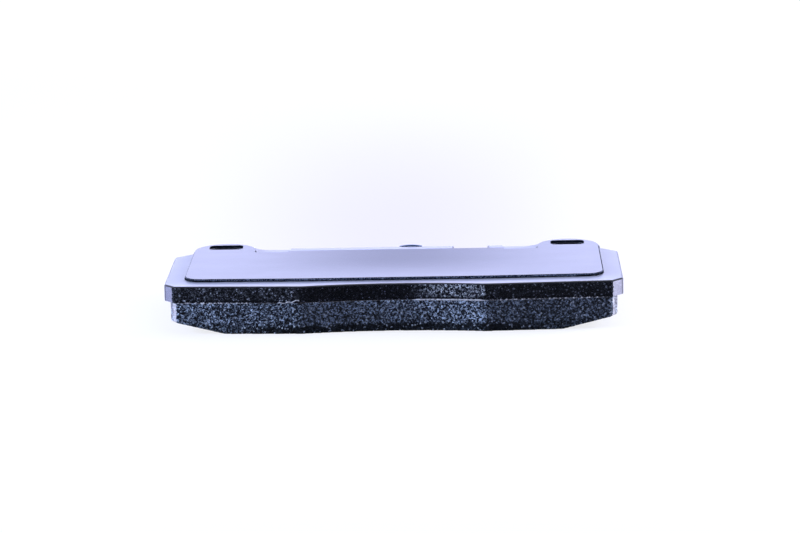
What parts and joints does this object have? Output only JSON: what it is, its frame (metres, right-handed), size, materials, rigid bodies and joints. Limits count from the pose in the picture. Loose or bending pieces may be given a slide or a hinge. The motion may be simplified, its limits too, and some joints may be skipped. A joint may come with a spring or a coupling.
{
  "type": "brake pad",
  "caption": "Disc brake pad for a fixed caliper: eared steel backing plate with pin slots, a bonded friction lining with end chamfers, a layered noise shim and a wear indicator.",
  "frame": {"origin": "on the friction face, under the middle of the pad's outline", "axes": "+X along the pad, +Y away from the wheel hub towards the ears, +Z from the friction face to the back of the pad"},
  "size_m": [0.156, 0.07, 0.0174],
  "materials": {
    "powder_coated_steel": "satin",
    "bonding_adhesive": "matte",
    "underlayer_mix": "matte",
    "friction_mix": "matte",
    "shim_glue": "satin",
    "shim_rubber": "satin",
    "shim_steel": "satin",
    "spring_steel": "satin",
    "rivet_steel": "satin"
  },
  "bodies": {
    "root": {"backing_plate": "powder_coated_steel", "bond_film": "bonding_adhesive", "underlayer": "underlayer_mix", "friction_lining": "friction_mix", "shim_adhesive": "shim_glue", "shim_inner_rubber": "shim_rubber", "shim_steel_core": "shim_steel", "shim_outer_rubber": "shim_rubber", "wear_indicator": "spring_steel", "indicator_rivet": "rivet_steel"}
  },
  "joints": []
}
